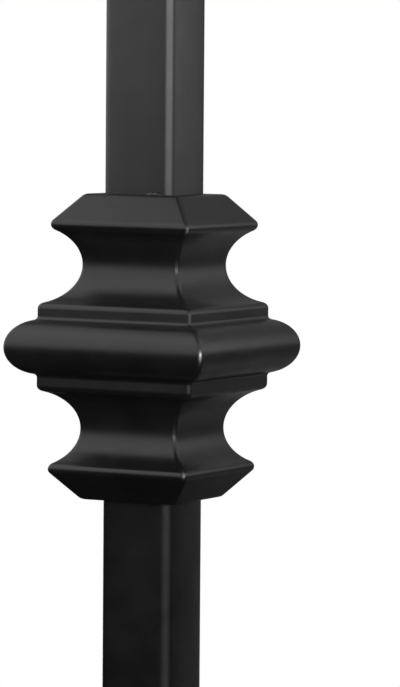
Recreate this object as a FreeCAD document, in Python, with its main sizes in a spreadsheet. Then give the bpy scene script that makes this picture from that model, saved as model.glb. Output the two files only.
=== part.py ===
import FreeCAD, Part
import math
import os
import Sketcher
from FreeCAD import Vector

# Iron stair baluster: a square tube swaged to a round pin at its top, with one
# square cast knuckle slid over it. The foot end stands on z = 0 and the tube runs
# up +Z; the flats face +-X and +-Y. All lengths are in millimetres.

sizes = {
    # square tube
    "bar_width": 12.7,  # across the flats
    "bar_corner": 1.8,  # outside corner radius of the cold-formed tube
    "bar_thickness": 1.2,
    "bore_corner": 0.6,  # inside corner radius of the tube
    "bar_length": 1117.6,  # foot to tip, pin included
    # swaged top
    "neck_length": 7.6,
    "neck_flat": 0.5,  # width at which each flat of the square runs out
    "pin_radius": 5.9,
    "pin_length": 22.0,
    "pin_edge": 0.8,  # rounding of the pin's tip
    "tip_flat": 0.1,  # least width left flat on the tip, inside the rounding
    # hanging hole through the front wall, near the foot
    "hang_hole": 3.0,
    "hang_hole_level": 10.8,
    # knuckle, from its bore outwards and from its middle upwards
    "knuckle_level": 680.0,  # middle of the knuckle above the foot
    "knuckle_fit": 0.1,  # clearance round the bar
    "rim_width": 2.15,  # flat rim between the bore and the bevel
    "bevel_width": 4.75,
    "bevel_height": 5.4,
    "waist_wall": 2.35,  # metal left between the bore and the throat of the cove
    "cove_height": 12.4,
    "band_step": 0.7,  # how far the band stands out past the lip
    "band_height": 2.55,  # from the top of the bead to the top of the band
    "bead_radius": 4.45,
    "bead_projection": 4.0,  # how far the bead stands out past the band
    "rim_round": 1.2,
    "lip_round": 1.1,
    "band_round": 1.0,
    "root_round": 0.6,  # hollow fillet between the band and the bead
}

doc = FreeCAD.newDocument("baluster")
sheet = doc.addObject("Spreadsheet::Sheet", "Sizes")
for row, (alias, size) in enumerate(sizes.items(), start=1):
    sheet.set(f"A{row}", alias)
    sheet.set(f"B{row}", str(size))
    sheet.setAlias(f"B{row}", alias)
doc.recompute()

# Sizes worked out from the sheet, as expressions
shoulder_level = "(Sizes.bar_length - Sizes.pin_length - Sizes.neck_length)"
pin_root_level = "(Sizes.bar_length - Sizes.pin_length)"
bore_half = "(Sizes.bar_width / 2 + Sizes.knuckle_fit)"
waist_half = f"({bore_half} + Sizes.waist_wall)"
rim_half = f"({bore_half} + Sizes.rim_width)"
lip_half = f"({rim_half} + Sizes.bevel_width)"
band_half = f"({lip_half} + Sizes.band_step)"
bead_half = f"({band_half} + Sizes.bead_projection)"
root_level = "sqrt(Sizes.bead_radius ^ 2 - (Sizes.bead_radius - Sizes.bead_projection) ^ 2)"
band_top = "(Sizes.bead_radius + Sizes.band_height)"
lip_level = f"({band_top} + Sizes.cove_height)"
rim_level = f"({lip_level} + Sizes.bevel_height)"


def value(expression):
    """The number that an expression gives, in millimetres."""
    return float(sheet.evalExpression(expression))


def sketch_on(body, name, role, level=None):
    """An empty sketch on one of the body's own origin planes, raised to a level if one is given."""
    plane = next(item for item in body.Origin.OriginFeatures if item.Role == role)
    sketch = body.newObject("Sketcher::SketchObject", name)
    sketch.AttachmentSupport = [(plane, "")]
    sketch.MapMode = "FlatFace"
    if level is not None:
        sketch.setExpression("AttachmentOffset.Base.z", level)
    return sketch


def constrain(sketch, *args):
    sketch.addConstraint(Sketcher.Constraint(*args))


def dimension(sketch, name, kind, expression, *places):
    """A named dimension of the sketch, bound to an expression."""
    index = sketch.addConstraint(Sketcher.Constraint(kind, *places, value(expression)))
    sketch.renameConstraint(index, name)
    sketch.setExpression(f"Constraints.{name}", expression)


def arc(centre, radius, start, end):
    """A counter-clockwise arc between two angles, in radians."""
    circle = Part.Circle(Vector(*centre, 0), Vector(0, 0, 1), radius)
    return Part.ArcOfCircle(circle, start, end)


def rounded_square(sketch, side, corner):
    """A square with rounded corners about the origin: front flat, corner, right flat, and on round."""
    half = value(side) / 2
    radius = value(corner)
    flat = half - radius
    ends = [(-flat, -half), (flat, -half), (half, -flat), (half, flat),
            (flat, half), (-flat, half), (-half, flat), (-half, -flat)]
    centres = [(flat, -flat), (flat, flat), (-flat, flat), (-flat, -flat)]
    for quarter, centre in enumerate(centres):
        start, end = ends[2 * quarter], ends[2 * quarter + 1]
        sketch.addGeometry(Part.LineSegment(Vector(*start, 0), Vector(*end, 0)))
        facing = (quarter - 1) * math.pi / 2
        sketch.addGeometry(arc(centre, radius, facing, facing + math.pi / 2))
    count = sketch.GeometryCount
    for item in range(count):
        constrain(sketch, "Tangent", item, 2, (item + 1) % count, 1)
    for item, direction in enumerate(("Horizontal", "Vertical", "Horizontal", "Vertical")):
        constrain(sketch, direction, 2 * item)
    for corner_item in (3, 5, 7):
        constrain(sketch, "Equal", 1, corner_item)
    constrain(sketch, "Symmetric", 0, 1, 4, 1, -1, 1)
    dimension(sketch, "width", "DistanceX", side, 6, 1, 2, 1)
    dimension(sketch, "depth", "DistanceY", side, 0, 1, 4, 1)
    dimension(sketch, "corner", "Radius", corner, 1)


def eight_part_circle(sketch, radius, flat):
    """A circle about the origin in eight arcs, to match the rounded square's flats and corners.

    The arc that faces each flat is short, so a flat runs out almost to a point at the circle."""
    reach = math.asin(value(flat) / 2 / value(radius))
    for quarter in range(4):
        facing = (quarter - 1) * math.pi / 2
        sketch.addGeometry(arc((0, 0), value(radius), facing - reach, facing + reach))
        sketch.addGeometry(arc((0, 0), value(radius), facing + reach, facing + math.pi / 2 - reach))
    count = sketch.GeometryCount
    for item in range(count):
        constrain(sketch, "Coincident", item, 3, -1, 1)
    for item in range(count - 1):
        constrain(sketch, "Coincident", item, 2, item + 1, 1)
    constrain(sketch, "Vertical", count - 1, 2, 0, 1)
    dimension(sketch, "radius", "Radius", radius, 0)
    for item, first, last in ((0, 1, 2), (4, 2, 1)):
        constrain(sketch, "Horizontal", item, first, item, last)
        dimension(sketch, f"flat_{item}", "DistanceX", flat, item, first, item, last)
    for item, first, last in ((2, 1, 2), (6, 2, 1)):
        constrain(sketch, "Vertical", item, first, item, last)
        dimension(sketch, f"flat_{item}", "DistanceY", flat, item, first, item, last)


def square_to_round(name, side, corner, radius):
    """A body that is square from the foot to the shoulder, then blends into a round pin."""
    body = doc.addObject("PartDesign::Body", name)
    foot = sketch_on(body, f"{name}_foot", "XY_Plane")
    rounded_square(foot, side, corner)
    shoulder = sketch_on(body, f"{name}_shoulder", "XY_Plane", shoulder_level)
    rounded_square(shoulder, side, corner)
    pin_root = sketch_on(body, f"{name}_pin_root", "XY_Plane", pin_root_level)
    eight_part_circle(pin_root, radius, "Sizes.neck_flat")
    doc.recompute()

    shaft = body.newObject("PartDesign::Pad", f"{name}_shaft")
    shaft.Profile = foot
    shaft.setExpression("Length", shoulder_level)
    neck = body.newObject("PartDesign::AdditiveLoft", f"{name}_neck")
    neck.Profile = shoulder
    neck.Sections = [pin_root]
    neck.Ruled = True
    pin = body.newObject("PartDesign::Pad", f"{name}_pin")
    pin.Profile = pin_root
    pin.setExpression("Length", "Sizes.pin_length")
    doc.recompute()
    return body


def combine(body, name, kind, other):
    """The body cut by another body, or what the two have in common."""
    boolean = body.newObject("PartDesign::Boolean", name)
    boolean.Type = kind
    boolean.setObjects([other])
    doc.recompute()


def round_edges(body, name, radius, wanted):
    """A fillet on every edge of the body's last feature that the test picks out."""
    base = body.Tip
    picked = [f"Edge{number}" for number, edge in enumerate(base.Shape.Edges, start=1) if wanted(edge)]
    fillet = body.newObject("PartDesign::Fillet", name)
    fillet.Base = (base, picked)
    fillet.setExpression("Radius", radius)
    doc.recompute()


def middle_of(edge):
    return edge.valueAt((edge.FirstParameter + edge.LastParameter) / 2)


def near(first, second, tolerance=0.001):
    return abs(first - second) < tolerance


def make_bar():
    """The tube: its outside form less the same form drawn one wall smaller, then drilled."""
    body = square_to_round("bar", "Sizes.bar_width", "Sizes.bar_corner", "Sizes.pin_radius")
    bore = square_to_round("bar_bore", "(Sizes.bar_width - 2 * Sizes.bar_thickness)", "Sizes.bore_corner",
                           "(Sizes.pin_radius - Sizes.bar_thickness)")
    combine(body, "bar_hollow", "Cut", bore)

    hole = sketch_on(body, "bar_hang_hole", "XZ_Plane")
    centre = Vector(0, value("Sizes.hang_hole_level"), 0)
    hole.addGeometry(Part.Circle(centre, Vector(0, 0, 1), value("Sizes.hang_hole") / 2))
    constrain(hole, "PointOnObject", 0, 3, -2)
    dimension(hole, "level", "DistanceY", "Sizes.hang_hole_level", -1, 1, 0, 3)
    dimension(hole, "diameter", "Diameter", "Sizes.hang_hole", 0)
    doc.recompute()
    drilled = body.newObject("PartDesign::Pocket", "bar_drilled")
    drilled.Profile = hole
    drilled.setExpression("Length", "Sizes.bar_width")
    drilled.Reversed = True  # from the middle of the tube out through its front wall, -Y
    doc.recompute()

    def tip_edge(edge):
        point = middle_of(edge)
        from_axis = math.hypot(point.x, point.y)
        return near(point.z, value("Sizes.bar_length")) and near(from_axis, value("Sizes.pin_radius"))

    round_edges(body, "bar_pin_edge", "min(Sizes.pin_edge; Sizes.bar_thickness - Sizes.tip_flat)", tip_edge)
    return body


def moulding_outline(sketch):
    """The knuckle's outline, the same left and right and above and below its middle.

    Each quarter, from the middle outwards, is a band, a cove and a bevel. A bead joins
    the bands on either side, and a rim joins the bevels above and below."""
    corners = [(band_half, root_level), (band_half, band_top), (lip_half, lip_level), (rim_half, rim_level)]
    corners = [(value(half), value(level)) for half, level in corners]
    throat = (value(waist_half), value(band_top) + value("Sizes.cove_height") / 2)
    upright_axis, level_axis, origin = (-2,), (-1,), (-1, 1)
    quarters = ((1, 1, None), (-1, 1, upright_axis), (-1, -1, origin), (1, -1, level_axis))
    bands, coves, bevels = [], [], []
    for across, up, mirror in quarters:
        root, top, lip, rim = (Vector(across * x, up * z, 0) for x, z in corners)
        bands.append(sketch.addGeometry(Part.LineSegment(root, top)))
        coves.append(sketch.addGeometry(Part.Arc(top, Vector(across * throat[0], up * throat[1], 0), lip)))
        bevels.append(sketch.addGeometry(Part.LineSegment(lip, rim)))
        lip_end, top_end = (1, 2) if across == up else (2, 1)
        constrain(sketch, "Coincident", bands[-1], 2, coves[-1], top_end)
        constrain(sketch, "Coincident", coves[-1], lip_end, bevels[-1], 1)
        if mirror:
            for lines in (bands, bevels):
                for end in (1, 2):
                    constrain(sketch, "Symmetric", lines[0], end, lines[-1], end, *mirror)
            constrain(sketch, "Equal", coves[0], coves[-1])

    def joined(first, first_end, last, last_end, middle=None):
        """A line between the ends of two lines, or an arc through a middle point if one is given."""
        points = [sketch.getPoint(first, first_end), middle, sketch.getPoint(last, last_end)]
        shape = Part.Arc(*points) if middle else Part.LineSegment(points[0], points[2])
        link = sketch.addGeometry(shape)
        constrain(sketch, "Coincident", link, 1, first, first_end)
        constrain(sketch, "Coincident", link, 2, last, last_end)
        return link

    right_bead = joined(bands[3], 1, bands[0], 1, Vector(value(bead_half), 0, 0))
    left_bead = joined(bands[1], 1, bands[2], 1, Vector(-value(bead_half), 0, 0))
    constrain(sketch, "Equal", right_bead, left_bead)
    joined(bevels[1], 2, bevels[0], 2)
    joined(bevels[2], 2, bevels[3], 2)

    # the throat of the cove touches an upright line one wall out from the bore
    throat_line = Part.LineSegment(Vector(throat[0], 0, 0), Vector(throat[0], value(lip_level), 0))
    guide = sketch.addGeometry(throat_line, True)
    constrain(sketch, "Vertical", guide)
    constrain(sketch, "PointOnObject", guide, 1, -1)
    constrain(sketch, "Horizontal", guide, 2, bevels[0], 1)
    constrain(sketch, "Tangent", guide, coves[0])

    constrain(sketch, "Vertical", bands[0])
    for name, half, level, item, end in (("band", band_half, band_top, bands[0], 2),
                                         ("lip", lip_half, lip_level, bevels[0], 1),
                                         ("rim", rim_half, rim_level, bevels[0], 2)):
        dimension(sketch, f"{name}_half", "DistanceX", half, -1, 1, item, end)
        dimension(sketch, f"{name}_level", "DistanceY", level, -1, 1, item, end)
    dimension(sketch, "waist_half", "DistanceX", waist_half, -1, 1, guide, 1)
    dimension(sketch, "bead_radius", "Radius", "Sizes.bead_radius", right_bead)
    dimension(sketch, "bead_centre", "DistanceX", f"({bead_half} - Sizes.bead_radius)", -1, 1, right_bead, 3)


def moulding(name, role, across):
    """A straight run of the moulding, drawn on one upright plane, with its long edges rounded."""
    body = doc.addObject("PartDesign::Body", name)
    outline = sketch_on(body, f"{name}_outline", role)
    moulding_outline(outline)
    doc.recompute()
    run = body.newObject("PartDesign::Pad", f"{name}_run")
    run.Profile = outline
    run.SideType = "Symmetric"
    run.setExpression("Length", f"2 * {bead_half}")
    doc.recompute()
    for edge_name, half, level in (("rim", rim_half, rim_level), ("lip", lip_half, lip_level),
                                   ("band", band_half, band_top), ("root", band_half, root_level)):
        def long_edge(edge):
            point = middle_of(edge)
            return near(abs(across(point)), value(half)) and near(abs(point.z), value(level))

        round_edges(body, f"{name}_{edge_name}", f"Sizes.{edge_name}_round", long_edge)
    return body


def make_knuckle():
    """The collar: two runs of the moulding that cross at a right angle, mitred by what they share."""
    body = moulding("knuckle", "XZ_Plane", lambda point: point.x)
    crossing = moulding("crossing", "YZ_Plane", lambda point: point.y)
    combine(body, "knuckle_mitred", "Common", crossing)

    bore = sketch_on(body, "knuckle_bore", "XY_Plane")
    rounded_square(bore, f"(2 * {bore_half})", "(Sizes.bar_corner + Sizes.knuckle_fit)")
    doc.recompute()
    bored = body.newObject("PartDesign::Pocket", "knuckle_bored")
    bored.Profile = bore
    bored.Type = "ThroughAll"
    bored.SideType = "Symmetric"
    body.setExpression("Placement.Base.z", "Sizes.knuckle_level")
    doc.recompute()
    return body


pieces = [make_bar(), make_knuckle()]

failed = [item.Name for item in doc.Objects if "Invalid" in item.State or "Error" in item.State]
if failed:
    raise RuntimeError("features that did not build: " + ", ".join(failed))
for piece in pieces:
    if piece.Shape.isNull() or not piece.Shape.isValid() or len(piece.Shape.Solids) != 1:
        raise RuntimeError(piece.Label + " is not one sound solid")

os.makedirs("parts", exist_ok=True)
for piece in pieces:
    piece.Shape.exportStep(f"parts/{piece.Label}.step")
    print(piece.Label, f"{piece.Shape.Volume / 1000:.2f} cm3", piece.Shape.BoundBox)
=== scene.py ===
import math

import bmesh
import bpy
import numpy as np
from mathutils import Matrix, Vector


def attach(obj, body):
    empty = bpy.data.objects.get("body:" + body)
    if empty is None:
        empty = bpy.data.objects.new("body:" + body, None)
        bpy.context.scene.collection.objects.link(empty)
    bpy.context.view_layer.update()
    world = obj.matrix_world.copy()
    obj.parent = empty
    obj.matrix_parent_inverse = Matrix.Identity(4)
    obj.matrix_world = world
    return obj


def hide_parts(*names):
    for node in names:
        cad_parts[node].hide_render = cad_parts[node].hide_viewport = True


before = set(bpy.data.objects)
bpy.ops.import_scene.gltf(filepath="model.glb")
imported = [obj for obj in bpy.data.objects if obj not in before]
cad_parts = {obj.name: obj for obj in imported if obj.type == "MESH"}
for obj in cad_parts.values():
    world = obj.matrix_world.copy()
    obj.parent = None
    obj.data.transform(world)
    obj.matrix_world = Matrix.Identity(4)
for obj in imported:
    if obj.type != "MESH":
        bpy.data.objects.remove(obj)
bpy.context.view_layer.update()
print("frame:", ", ".join(sorted(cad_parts)))

# Iron stair baluster: a black coated square tube with a round pin swaged on its top, and a cast knuckle
# tacked on at hand height. Sizes below are in millimetres, in the frame of the CAD model.

scene = bpy.context.scene
mm = 0.001
weldDistance = 0.002 * mm


def gridPiece(name, points, closeRows=False, closeCols=True, cut=None):
    # Rows run along the piece and columns once round it, anticlockwise from above, so row by column
    # quads face outwards. A cut is a True/False grid of the quads to leave out.
    rows, cols = points.shape[:2]
    index = np.arange(rows * cols).reshape(rows, cols)
    nextCol = np.roll(index, -1, axis=1)
    nextRow, nextBoth = np.roll(index, -1, axis=0), np.roll(nextCol, -1, axis=0)
    quads = np.stack([index, nextCol, nextBoth, nextRow], axis=-1)
    keep = np.ones((rows, cols), bool) if cut is None else ~cut
    keep[-1] &= closeRows
    keep[:, -1] &= closeCols
    mesh = bpy.data.meshes.new(name)
    mesh.from_pydata((points.reshape(-1, 3) * mm).tolist(), [], quads[keep].tolist())
    piece = bpy.data.objects.new(name, mesh)
    scene.collection.objects.link(piece)
    return piece


def weldAndSmooth(piece, sharpDegrees):
    # closes seams and poles, then shades smooth except across real edges
    work = bmesh.new()
    work.from_mesh(piece.data)
    bmesh.ops.remove_doubles(work, verts=work.verts, dist=weldDistance)
    work.to_mesh(piece.data)
    work.free()
    piece.data.shade_smooth()
    piece.data.set_sharp_from_angle(angle=math.radians(sharpDegrees))


def turned(degrees, axis):
    return Matrix.Rotation(math.radians(degrees), 4, axis)


def squareWalk(flatStops, cornerSteps, lean=0.0):
    # One lap of a rounded square as weights: a point is the half width times the first, plus the corner
    # radius times the second, plus the crown times the third. A flat is a step out and a share of the way
    # along it; its crown is that step times 1 - share^3, so it ends leaning a little towards the corner,
    # and the corner turns about its own centre from that lean to the next flat's.
    out, along = np.array([0.0, -1.0]), np.array([1.0, 0.0])
    stops = np.asarray(flatStops, float)[:, None]
    turn = np.linspace(lean, math.pi / 2 - lean, cornerSteps + 1)[1:-1, None]
    still = 0 * turn
    half = np.vstack([out + stops * along, out + along + still])
    radius = np.vstack([-(math.cos(lean) - math.sin(lean)) * stops * along,
                        np.cos(turn) * out + np.sin(turn) * along - math.cos(lean) * (out + along)])
    crown = np.vstack([(1 - abs(stops) ** 3) * out, still * out])
    # share of the quarter, for lapping a circle instead, and which points are on a corner
    share = np.vstack([stops, 1 + (turn - lean) / (math.pi / 2 - 2 * lean)])[:, 0]
    corner = np.vstack([0 * stops, still + 1])[:, 0]
    quarter = np.arange(4) * math.pi / 2
    spin = np.array([[np.cos(quarter), -np.sin(quarter)], [np.sin(quarter), np.cos(quarter)]])
    lap = [np.einsum("ijk,cj->kci", spin, part).reshape(-1, 2) for part in (half, radius, crown)]
    return {"half": lap[0], "radius": lap[1], "crown": lap[2], "share": np.tile(share, 4),
            "corner": np.tile(corner, 4), "facing": np.repeat(quarter, len(share))}


def squareRings(walk, half, radius, crown=0.0):
    # the lap above for every row's own half width, at the ends of its flats, and corner radius
    return half[:, None, None] * walk["half"] + radius[:, None, None] * walk["radius"] + crown * walk["crown"]


# Square tube. Its outside runs up from the foot, over the swaged neck and the pin's rounded tip, and comes
# back down as the bore one wall inside, so the whole tube is one closed skin.
tube = {
    "half": 6.35, "corner": 1.65, "crown": 0.1, "length": 1117.6,
    "boreHalf": 5.15, "boreCorner": 0.6,
    "shoulder": 1088.0, "neckLength": 7.6, "neckFlat": 0.5, "neckSoft": 0.35, "neckInset": 1.0,
    "pinRadius": 5.9, "pinBore": 4.7, "tipRound": 0.8, "footRound": 0.25,
    "holeLevel": 10.8, "holeRadius": 1.5, "holeRound": 0.15, "holeWindow": 2.6, "holeSteps": 10,
    "flatStops": (0.75, 0.9, 1.0), "cornerSteps": 14, "roundSteps": 6, "brimSteps": 4,
    "bodyLevels": (40, 330, 700, 1060), "neckSteps": 4, "neckSoftSteps": 6,
}


def softRamp(t, soft):
    # a ramp from 0 to 1 averaged over a short length, which rounds its two ends
    def area(s):
        return np.where(s < 0, 0, np.where(s < 1, s * s / 2, s - 0.5))
    return (area(t + soft) - area(t - soft)) / (2 * soft)


def tubeRings(z, half, corner, crown, radius, walk):
    # Below the shoulder a ring is the rounded square. Over the neck it slides in a straight line to a
    # circle, on which each flat keeps only a sliver, so the flats run out in points and the corners fan
    # out as cones. Past the neck only the circle is left.
    square = squareRings(walk, half - crown / 2, corner, crown)
    sliver = math.asin(tube["neckFlat"] / 2 / tube["pinRadius"])
    share, facing = walk["share"], walk["facing"]
    fan = (share - 1) * (math.pi / 2 - 2 * sliver) + sliver
    angle = facing - math.pi / 2 + np.where(share <= 1, share * sliver, fan)
    circle = radius[:, None, None] * np.stack([np.cos(angle), np.sin(angle)], axis=-1)
    soft = tube["neckSoft"] / tube["neckLength"]
    blend = softRamp((z - tube["shoulder"]) / tube["neckLength"], soft)[:, None, None]
    flat = square + (circle - square) * blend
    return np.concatenate([flat, np.broadcast_to(z[:, None, None], (*flat.shape[:2], 1))], axis=-1)


def makeTube(t):
    end = t["half"] - t["crown"] / 2
    lean = 3 * t["crown"] / (end - t["corner"])
    shorter = math.cos(lean) - math.sin(lean)
    flat, boreFlat = end - t["corner"] * shorter, t["boreHalf"] - t["boreCorner"] * shorter
    window = np.linspace(-1, 1, t["holeSteps"] + 1) * t["holeWindow"]
    stops = np.array(t["flatStops"])
    walk = squareWalk([*-stops[::-1], *window / flat, *stops], t["cornerSteps"], lean)
    pinRoot = t["shoulder"] + t["neckLength"]
    neckEnds = np.linspace(-1, 1, t["neckSoftSteps"] + 1) * t["neckSoft"]
    span = np.linspace(t["neckInset"], t["neckLength"] - t["neckInset"], t["neckSteps"] + 1)
    neck = np.concatenate([t["shoulder"] + neckEnds, t["shoulder"] + span, pinRoot + neckEnds])
    body = np.concatenate([t["holeLevel"] + window, t["bodyLevels"], neck])

    quarter = np.linspace(0, math.pi / 2, t["roundSteps"] + 1)
    footIn, tipIn = t["footRound"] * (1 - np.sin(quarter)), t["tipRound"] * (1 - np.cos(quarter))
    zUp = np.concatenate([t["footRound"] * (1 - np.cos(quarter)), body,
                          t["length"] - t["tipRound"] * (1 - np.sin(quarter))])
    trim = np.concatenate([footIn, 0 * body, 0 * quarter])
    radiusUp = t["pinRadius"] - np.concatenate([0 * quarter, 0 * body, tipIn])
    outside = tubeRings(zUp, t["half"] - trim, t["corner"] - trim, t["crown"], radiusUp, walk)

    zDown = np.concatenate([[t["length"]], body[::-1], [0]])
    same = np.ones_like(zDown)
    inside = tubeRings(zDown, t["boreHalf"] * same, t["boreCorner"] * same, 0.0, t["pinBore"] * same, walk)

    # the hanging hole leaves out a square window of quads in both skins of the front wall
    points = np.concatenate([outside, inside])
    rows, cols = np.meshgrid(np.arange(len(points)), np.arange(points.shape[1]), indexing="ij")
    steps = t["holeSteps"]
    firstOut, firstIn = len(quarter), len(outside) + len(body) - steps
    inWindow = (cols >= len(stops)) & (cols < len(stops) + steps)
    inWindow &= ((rows >= firstOut) & (rows < firstOut + steps)
                 | (rows >= firstIn) & (rows < firstIn + steps))
    piece = gridPiece("squareTube", points, closeRows=True, cut=inWindow)

    # Hole patch: rings that go from the window's square outline to the hole's circle on the outside,
    # through the wall with a rounded brim, and back out to the square on the inside.
    side = np.linspace(-1, 1, steps + 1)[:-1]
    one = np.ones_like(side)
    border = t["holeWindow"] * np.concatenate([np.stack(pair, axis=-1) for pair in (
        (side, -one), (one, side), (-side, one), (-one, -side))])
    unit = border / np.linalg.norm(border, axis=1, keepdims=True)
    brim = np.linspace(0, math.pi / 2, t["brimSteps"] + 1)
    reach = t["holeRadius"] + t["holeRound"] * (1 - np.sin(brim))
    face = t["half"] + t["crown"] / 2
    depth = face - t["holeRound"] * (1 - np.cos(brim))
    rim = reach[:, None, None] * unit
    inner = np.stack([t["holeRadius"] * unit, border * [boreFlat / flat, 1]])
    spread = np.concatenate([border[None], (border + rim[0])[None] / 2, rim, inner])
    y = -np.concatenate([[face] * 2, depth, [t["boreHalf"]] * 2])[:, None] + 0 * spread[..., 0]
    y[:-2] += t["crown"] * abs(spread[:-2, :, 0] / flat) ** 3
    patch = np.stack([spread[..., 0], y, spread[..., 1] + t["holeLevel"]], axis=-1)
    sleeve = gridPiece("holeSleeve", patch)

    # one skin: the sleeve joins the tube and the shared points are welded
    work = bmesh.new()
    work.from_mesh(piece.data)
    work.from_mesh(sleeve.data)
    work.to_mesh(piece.data)
    work.free()
    bpy.data.objects.remove(sleeve)
    weldAndSmooth(piece, sharpDegrees=35)
    return piece


bar = makeTube(tube)
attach(bar, "root")
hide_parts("bar")
print("tube:", len(bar.data.polygons), "faces")

# Cast knuckle. From its middle up: half of a bead, a flat band, a cove, a lip, a bevel and a flat rim, and
# the same mirrored below. Half widths and heights are measured from the middle of the casting. The bead is
# a micron slimmer than in the CAD model, because the lean swings it out a little.
knuckleForm = {
    "level": 680.0, "bore": 6.6, "boreCorner": 1.9, "arris": 0.7, "lean": 0.42, "leanBearing": 28.0,
    "rimHalf": 8.6, "rimTop": 24.8, "lipHalf": 13.35, "lipLevel": 19.4,
    "waistHalf": 8.8, "bandHalf": 14.05, "bandTop": 7.0,
    "beadCentre": 13.6, "beadRadius": 4.449,
    "rimRound": 1.2, "lipRound": 1.1, "bandRound": 1.0, "rootRound": 0.6,
    "rimFlat": 0.35,
    # painted glint on the tips: its width across the arris, its heights on the bead and the lips, and the
    # lips' share
    "glintShare": 0.35, "glintHeight": 0.7, "lipGlint": 0.45, "lipGlintHeight": 0.4,
    "beadSteps": 24, "rootSteps": 6, "bandSteps": 8, "coveSteps": 40, "lipSteps": 12, "rimSteps": 6,
    "lineStops": (0.04, 0.5, 0.96), "flatStops": (-1, -0.985, -0.5, 0, 0.5, 0.985, 1), "cornerSteps": 8,
}


def arcPoints(centre, radius, start, end, steps):
    # points on a circle between two places on or near it, the short way round
    a, b = (math.atan2(p[1] - centre[1], p[0] - centre[0]) for p in (start, end))
    b = a + (b - a + math.pi) % (2 * math.pi) - math.pi
    angle = np.linspace(a, b, steps + 1)
    return np.stack([centre[0] + radius * np.cos(angle), centre[1] + radius * np.sin(angle)], axis=-1)


def coveCircle(k):
    # the circle through the band's top corner and the lip that just touches the upright waist line
    waist, band, lip = k["waistHalf"], (k["bandHalf"], k["bandTop"]), (k["lipHalf"], k["lipLevel"])
    a, b = band[0] - waist, lip[0] - waist
    # equal radii from both points: (a^2 + (z1 - z)^2) / 2a = (b^2 + (z2 - z)^2) / 2b, solved for z
    roots = np.roots([b - a, -2 * (b * band[1] - a * lip[1]),
                      b * (a * a + band[1] ** 2) - a * (b * b + lip[1] ** 2)])
    z = float(roots[(roots > band[1]) & (roots < lip[1])][0])
    return (waist + (a * a + (band[1] - z) ** 2) / (2 * a), z)


def mouldingHalf(k):
    # Outline of one half as half width and height. Each rounding is an arc that touches both of its
    # neighbours: its centre lies one radius off a line, and radius plus radius from a circle's centre.
    cove = np.array(coveCircle(k))
    coveRadius = cove[0] - k["waistHalf"]
    bead = np.array([k["beadCentre"], 0.0])
    root, brow, lip, rim = k["rootRound"], k["bandRound"], k["lipRound"], k["rimRound"]
    band = k["bandHalf"]

    x = band + root
    rootAt = np.array([x, math.sqrt((k["beadRadius"] + root) ** 2 - (x - bead[0]) ** 2)])
    beadEnd = bead + (rootAt - bead) * k["beadRadius"] / (k["beadRadius"] + root)

    x = band - brow
    browAt = np.array([x, cove[1] - math.sqrt((coveRadius + brow) ** 2 - (x - cove[0]) ** 2)])
    coveStart = cove + (browAt - cove) * coveRadius / (coveRadius + brow)

    lipCorner = np.array([k["lipHalf"], k["lipLevel"]])
    rimCorner = np.array([k["rimHalf"], k["rimTop"]])
    slope = (rimCorner - lipCorner) / np.linalg.norm(rimCorner - lipCorner)
    inward = np.array([-slope[1], slope[0]])
    base = lipCorner + inward * lip - cove
    half = base @ slope
    lipAt = cove + base + slope * (-half + math.sqrt(half ** 2 - base @ base + (coveRadius + lip) ** 2))
    coveEnd = cove + (lipAt - cove) * coveRadius / (coveRadius + lip)
    bevelStart = lipAt - inward * lip

    rimAt = lipCorner + inward * rim
    rimAt = rimAt + slope * ((k["rimTop"] - rim - rimAt[1]) / slope[1])
    bevelEnd = rimAt - inward * rim
    rimStart = rimAt + np.array([0, rim])

    line = np.array(k["lineStops"])[:, None]
    bandFoot, bandHead = np.array([band, rootAt[1]]), np.array([band, browAt[1]])
    return np.concatenate([
        arcPoints(bead, k["beadRadius"], bead + [1, 0], beadEnd, k["beadSteps"]),
        arcPoints(rootAt, root, beadEnd, bandFoot, k["rootSteps"])[1:],
        bandFoot + line * (bandHead - bandFoot),
        arcPoints(browAt, brow, bandHead, coveStart, k["bandSteps"]),
        arcPoints(cove, coveRadius, coveStart, coveEnd, k["coveSteps"])[1:],
        arcPoints(lipAt, lip, coveEnd, bevelStart, k["lipSteps"])[1:],
        bevelStart + line * (bevelEnd - bevelStart),
        arcPoints(rimAt, rim, bevelEnd, rimStart, k["rimSteps"]),
        [[k["rimHalf"] - rim - k["rimFlat"], k["rimTop"]]],
    ])


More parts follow.
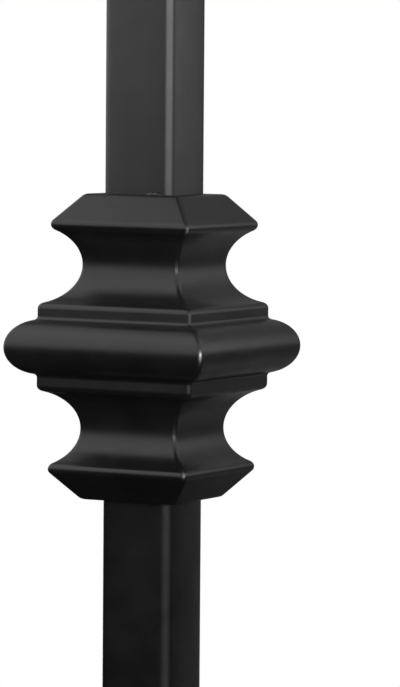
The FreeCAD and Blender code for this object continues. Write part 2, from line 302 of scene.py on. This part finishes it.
def makeKnuckle(k):
    # The outline is carried round a square with a small arris radius, then down the bore.
    upper = mouldingHalf(k)
    outline = np.concatenate([upper[::-1] * [1, -1], upper[1:]])
    bore = np.array([[k["bore"], k["rimTop"]], [k["bore"], 0], [k["bore"], -k["rimTop"]]])
    half = np.concatenate([outline[:, 0], bore[:, 0]])
    z = np.concatenate([outline[:, 1], bore[:, 1]])
    radius = np.concatenate([0 * outline[:, 0] + k["arris"], 0 * bore[:, 0] + k["boreCorner"]])
    walk = squareWalk(k["flatStops"], k["cornerSteps"])
    flat = squareRings(walk, half, radius)
    height = np.broadcast_to((z + k["level"])[:, None, None], (*flat.shape[:2], 1))
    piece = gridPiece("castKnuckle", np.concatenate([flat, height], axis=-1), closeRows=True)
    # Painted glints: the tips of the bead, and those of the lips a little, turn to bright metal just where
    # the highlight falls on them. The mask is a bell curve across the arris times one along it, round the
    # middle of the bead or of a lip.
    across = walk["corner"] * np.exp(-((2 * walk["share"] - 3) / k["glintShare"]) ** 2)
    beadTip = np.exp(-(z / k["glintHeight"]) ** 2) * (half > k["beadCentre"])
    lipTip = np.exp(-((abs(z) - k["lipLevel"]) / k["lipGlintHeight"]) ** 2)
    paintedGlint = across * (beadTip + k["lipGlint"] * lipTip)[:, None]
    piece.data.attributes.new("paintedGlint", "FLOAT", "POINT").data.foreach_set("value", paintedGlint.ravel())
    # it was tacked on a hair askew, and leans to the right when seen from the lean's bearing
    middle = Matrix.Translation((0, 0, k["level"] * mm))
    away = turned(k["leanBearing"], "Z") @ Vector((0, 1, 0))
    piece.data.transform(middle @ turned(k["lean"], away) @ middle.inverted())
    weldAndSmooth(piece, sharpDegrees=40)
    return piece


knuckle = makeKnuckle(knuckleForm)
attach(knuckle, "root")
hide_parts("knuckle")
print("knuckle:", len(knuckle.data.polygons), "faces")

# Tack weld at the top of the knuckle, on the front face of the bar beside its right-hand corner.
tackForm = {"from": 1.8, "to": 4.9, "face": -6.35, "level": 704.8, "height": 0.5, "depth": 0.42,
            "ripples": 3, "ripple": 0.07, "lengthSteps": 24, "roundSteps": 16}


def makeTack(t):
    # A low bead: an ellipse carried along the joint, that swells from nothing at one end and back to
    # nothing at the other, with a few slight ripples where the weld pool froze.
    along = np.linspace(0, 1, t["lengthSteps"] + 1)[:, None]
    turn = np.linspace(0, 2 * math.pi, t["roundSteps"], endpoint=False)[None, :]
    ripple = 1 + t["ripple"] * np.cos(2 * math.pi * t["ripples"] * along)
    swell = np.sqrt(np.clip(1 - (2 * along - 1) ** 2, 0, 1)) * ripple
    x = t["from"] + (t["to"] - t["from"]) * along + 0 * turn
    y = t["face"] + t["depth"] * swell * np.cos(turn)
    z = t["level"] + t["height"] * swell * np.sin(turn)
    piece = gridPiece("tackWeld", np.stack([x, y, z], axis=-1))
    weldAndSmooth(piece, sharpDegrees=60)
    return piece


tack = makeTack(tackForm)
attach(tack, "root")
print("tack:", len(tack.data.polygons), "faces")


def linear(hexColour):
    # sRGB hex to the linear RGBA that Blender works in
    s = np.array([int(hexColour[i:i + 2], 16) / 255 for i in (1, 3, 5)])
    rgb = np.where(s <= 0.04045, s / 12.92, ((s + 0.055) / 1.055) ** 2.4)
    return (*rgb.tolist(), 1.0)


def addNode(tree, kind, inputs=None, **settings):
    # a node with its settings; an input that is another node's output is linked, any other is set
    node = tree.nodes.new(kind)
    for name, value in settings.items():
        setattr(node, name, value)
    for key, value in (inputs or {}).items():
        if isinstance(value, bpy.types.NodeSocket):
            tree.links.new(value, node.inputs[key])
        else:
            node.inputs[key].default_value = value
    return node


# Satin black polyester powder coat. Baked on, it flows into a soft skin: deep neutral black, a broad low
# sheen on every edge, and a faint orange peel that breaks the sheen up.
coatLook = {
    "dark": "#111112", "light": "#181819", "cloudMm": 9.0, "cloudStops": (0.35, 0.65),
    "roughness": (0.28, 0.35), "sheenMm": 4.0, "sheenDetail": 3.0, "sheenStops": (0.3, 0.7),
    # the first two settings below are the painted glint: its bright metal colour and how strongly it shows on
    # the knuckle's tips
    "glintMetal": "#c6c6c7", "glintStrength": 0.9, "waveDetail": 1.0, "peelMm": 1.1, "peelDepthMm": 0.006,
}


def powderCoat(name, look, waveMm, waveDepthMm):
    material = bpy.data.materials.new(name)
    material.use_nodes = True
    tree = material.node_tree
    tree.nodes.clear()
    place = addNode(tree, "ShaderNodeTexCoord").outputs["Object"]

    clouds = addNode(tree, "ShaderNodeTexNoise", {"Vector": place, "Scale": 1 / (look["cloudMm"] * mm)})
    colour = addNode(tree, "ShaderNodeValToRGB", {"Fac": clouds.outputs["Fac"]})
    for stop, shade, at in zip(colour.color_ramp.elements, (look["dark"], look["light"]), look["cloudStops"]):
        stop.color, stop.position = linear(shade), at
    patches = addNode(tree, "ShaderNodeTexNoise", {
        "Vector": place, "Scale": 1 / (look["sheenMm"] * mm), "Detail": look["sheenDetail"]})
    sheen = addNode(tree, "ShaderNodeMapRange", {
        "Value": patches.outputs["Fac"], "From Min": look["sheenStops"][0], "From Max": look["sheenStops"][1],
        "To Min": look["roughness"][0], "To Max": look["roughness"][1]})
    # painted glint: on the knuckle's tips the coat turns to a bright metal that stands in for the highlight
    # there
    paintedGlint = addNode(tree, "ShaderNodeAttribute", attribute_name="paintedGlint")
    glintAmount = addNode(tree, "ShaderNodeMath", {
        0: paintedGlint.outputs["Fac"], 1: look["glintStrength"]}, operation="MULTIPLY")
    tint = addNode(tree, "ShaderNodeMix", {
        0: glintAmount.outputs["Value"], 6: colour.outputs["Color"], 7: linear(look["glintMetal"])}, data_type="RGBA")
    # the metal's own waviness lies under the peel of the coat
    swells = addNode(tree, "ShaderNodeTexNoise", {
        "Vector": place, "Scale": 1 / (waveMm * mm), "Detail": look["waveDetail"]})
    wave = addNode(tree, "ShaderNodeBump", {"Height": swells.outputs["Fac"], "Distance": waveDepthMm * mm})
    dimples = addNode(tree, "ShaderNodeTexNoise", {"Vector": place, "Scale": 1 / (look["peelMm"] * mm)})
    peel = addNode(tree, "ShaderNodeBump", {
        "Height": dimples.outputs["Fac"], "Distance": look["peelDepthMm"] * mm,
        "Normal": wave.outputs["Normal"]})
    skin = addNode(tree, "ShaderNodeBsdfPrincipled", {
        "Base Color": tint.outputs[2], "Metallic": glintAmount.outputs["Value"],
        "Roughness": sheen.outputs["Result"], "Normal": peel.outputs["Normal"]})
    addNode(tree, "ShaderNodeOutputMaterial", {"Surface": skin.outputs["BSDF"]})
    return material


bar.data.materials.append(powderCoat("powderCoatOnTube", coatLook, waveMm=14.0, waveDepthMm=0.010))
knuckle.data.materials.append(powderCoat("powderCoatOnCasting", coatLook, waveMm=6.0, waveDepthMm=0.030))
tack.data.materials.append(knuckle.data.materials[0])
print("materials:", len(bpy.data.materials))

# Studio: a pale floor that fades out a few steps away and a white surround. Both look pale to the camera and
# in reflections, and throw less light than that on the bar.
studio = {
    "floorHalf": 3000.0, "floorLines": 9, "fadeFrom": 1600.0, "fadeTo": 2900.0,
    "floorColour": "#e4e4e2", "floorTone": "#f4f4f2", "floorEven": 0.7,
    "surround": 0.16, "white": 1.0,
}


def seenRays(tree):
    # 1 for rays from the camera and in reflections and glass, 0 for rays that carry light
    ray = addNode(tree, "ShaderNodeLightPath").outputs
    seen = addNode(tree, "ShaderNodeMath", {
        0: ray["Is Camera Ray"], 1: ray["Is Glossy Ray"]}, operation="MAXIMUM")
    return addNode(tree, "ShaderNodeMath", {
        0: seen.outputs["Value"], 1: ray["Is Transmission Ray"]}, operation="MAXIMUM").outputs["Value"]


def makeFloor(s):
    side = np.linspace(-s["floorHalf"], s["floorHalf"], s["floorLines"])
    y, x = np.meshgrid(side, side, indexing="ij")
    floor = gridPiece("floor", np.stack([x, y, 0 * x], axis=-1), closeCols=False)
    # matt paper that thins away to the white surround at its edge
    material = bpy.data.materials.new("mattPaper")
    material.use_nodes = True
    tree = material.node_tree
    tree.nodes.clear()
    place = addNode(tree, "ShaderNodeTexCoord").outputs["Object"]
    far = addNode(tree, "ShaderNodeVectorMath", {0: place}, operation="LENGTH")
    fade = addNode(tree, "ShaderNodeMapRange", {
        "Value": far.outputs["Value"], "From Min": s["fadeFrom"] * mm, "From Max": s["fadeTo"] * mm},
        interpolation_type="SMOOTHSTEP")
    # what is seen of it is mostly one even tone, with some of the lamps' light and of the bar's shadow
    paper = addNode(tree, "ShaderNodeBsdfDiffuse", {"Color": linear(s["floorColour"])})
    tone = addNode(tree, "ShaderNodeEmission", {"Color": linear(s["floorTone"])})
    even = addNode(tree, "ShaderNodeMath", {0: seenRays(tree), 1: s["floorEven"]}, operation="MULTIPLY")
    pale = addNode(tree, "ShaderNodeMixShader", {
        0: even.outputs["Value"], 1: paper.outputs["BSDF"], 2: tone.outputs["Emission"]})
    clear = addNode(tree, "ShaderNodeBsdfTransparent")
    both = addNode(tree, "ShaderNodeMixShader", {
        0: fade.outputs["Result"], 1: pale.outputs["Shader"], 2: clear.outputs["BSDF"]})
    addNode(tree, "ShaderNodeOutputMaterial", {"Surface": both.outputs["Shader"]})
    floor.data.materials.append(material)


def makeSurround(s):
    world = bpy.data.worlds.new("surround")
    scene.world = world
    world.use_nodes = True
    tree = world.node_tree
    tree.nodes.clear()
    light = addNode(tree, "ShaderNodeBackground", {"Color": (1, 1, 1, 1), "Strength": s["surround"]})
    white = addNode(tree, "ShaderNodeBackground", {"Color": (1, 1, 1, 1), "Strength": s["white"]})
    both = addNode(tree, "ShaderNodeMixShader", {
        0: seenRays(tree), 1: light.outputs["Background"], 2: white.outputs["Background"]})
    addNode(tree, "ShaderNodeOutputWorld", {"Surface": both.outputs["Shader"]})


# Camera: how far it stands from the bar, its height over the middle of the knuckle, how far round from the
# front face it is, and which way it leans, in millimetres and degrees. The lens is given in pixels of the
# picture's height, and the clip range in metres.
cameraView = {"distance": 695.2, "above": 44.8, "round": 27.953, "pan": 0.624, "tilt": 3.646, "roll": 0.43,
              "focalPixels": 4283.5, "imageHeight": 687, "clip": (0.01, 100)}


def makeCamera(c):
    data = bpy.data.cameras.new("camera")
    data.lens = c["focalPixels"] / c["imageHeight"] * data.sensor_width
    data.clip_start, data.clip_end = c["clip"]
    camera = bpy.data.objects.new("camera", data)
    scene.collection.objects.link(camera)
    height = knuckleForm["level"] + c["above"]
    stand = turned(c["round"], "Z") @ Vector((0, -c["distance"] * mm, height * mm))
    camera.matrix_world = (Matrix.Translation(stand) @ turned(c["round"] - c["pan"], "Z")
                           @ turned(90 - c["tilt"], "X") @ turned(c["roll"], "Z"))
    scene.camera = camera


# Lamps: which way they stand from the knuckle, in degrees round from the camera (right is positive) and above
# the level, how far off and how big in metres, and their power in watts.
lamps = {
    "bank": {"round": -87, "up": 17, "away": 0.38, "size": (0.45, 0.71), "watts": 0.47},
    "front": {"round": 24, "up": 2, "away": 0.8, "size": (1.2, 0.38), "watts": 5.75},
}


def makeLamp(name, lamp):
    data = bpy.data.lights.new(name, "AREA")
    data.shape = "RECTANGLE"
    data.size, data.size_y = lamp["size"]
    data.energy = lamp["watts"]
    light = bpy.data.objects.new(name, data)
    scene.collection.objects.link(light)
    middle = Vector((0, 0, knuckleForm["level"] * mm))
    aim = turned(cameraView["round"] + lamp["round"], "Z") @ turned(90 - lamp["up"], "X")
    light.matrix_world = Matrix.Translation(middle) @ aim @ Matrix.Translation((0, 0, lamp["away"]))
    light.visible_camera = False


# Screens of felt stand round the bar out of the light's way, and show only in the sheen of the coat: black
# below hand height and on the floor, grey at the right and behind, and a pale roof. Each runs between two
# bearings, counted as for the lamps, with its distance and height at its first and its last edge, and thins
# out over a fade below its top.
screens = {
    "skirt": {"round": (-185, 175), "away": (250, 250), "rise": (0, 709), "fade": 37, "colour": "#0e0e0e"},
    "mat": {"round": (-180, 180), "away": (250, 9), "rise": (0.3, 0.3), "fade": 0, "colour": "#0e0e0e"},
    "sideCard": {"round": (75, 124), "away": (240, 240), "rise": (548, 670), "fade": 0, "colour": "#2a2a2a"},
    "backCard": {"round": (124, 220), "away": (240, 240), "rise": (548, 1150), "fade": 0,
                 "colour": "#a1a1a1"},
    "roof": {"round": (-180, 180), "away": (230, 1), "rise": (1150, 1160), "fade": 0, "colour": "#ebebeb"},
}
screenLines = 25


def makeScreen(name, screen):
    # straight lines from the lower edge to the upper one, bent round the bar
    turn = np.radians(np.linspace(*screen["round"], screenLines) + cameraView["round"] - 90)[None, :]
    away, z = (np.array(screen[key], float)[:, None] for key in ("away", "rise"))
    points = np.stack([away * np.cos(turn), away * np.sin(turn), z + 0 * turn], axis=-1)
    sheet = gridPiece(name, points, closeCols=False)
    felt = bpy.data.materials.new(name + "Felt")
    felt.use_nodes = True
    tree = felt.node_tree
    tree.nodes.clear()
    place = addNode(tree, "ShaderNodeTexCoord").outputs["Object"]
    level = addNode(tree, "ShaderNodeSeparateXYZ", {0: place})
    # the fade ends a millimetre over the top, so that a sheet without one stays whole
    top = screen["rise"][1]
    thin = addNode(tree, "ShaderNodeMapRange", {
        "Value": level.outputs["Z"], "From Min": (top - screen["fade"]) * mm, "From Max": (top + 1) * mm})
    nap = addNode(tree, "ShaderNodeBsdfDiffuse", {"Color": linear(screen["colour"])})
    clear = addNode(tree, "ShaderNodeBsdfTransparent")
    both = addNode(tree, "ShaderNodeMixShader", {
        0: thin.outputs["Result"], 1: nap.outputs["BSDF"], 2: clear.outputs["BSDF"]})
    addNode(tree, "ShaderNodeOutputMaterial", {"Surface": both.outputs["Shader"]})
    sheet.data.materials.append(felt)
    sheet.visible_camera = sheet.visible_diffuse = False
    sheet.visible_transmission = sheet.visible_shadow = False


makeFloor(studio)
makeSurround(studio)
makeCamera(cameraView)
for lampName, lampSettings in lamps.items():
    makeLamp(lampName, lampSettings)
for screenName, screenSettings in screens.items():
    makeScreen(screenName, screenSettings)
scene.view_settings.view_transform = "Standard"
print("studio:", ", ".join([*lamps, *screens]))
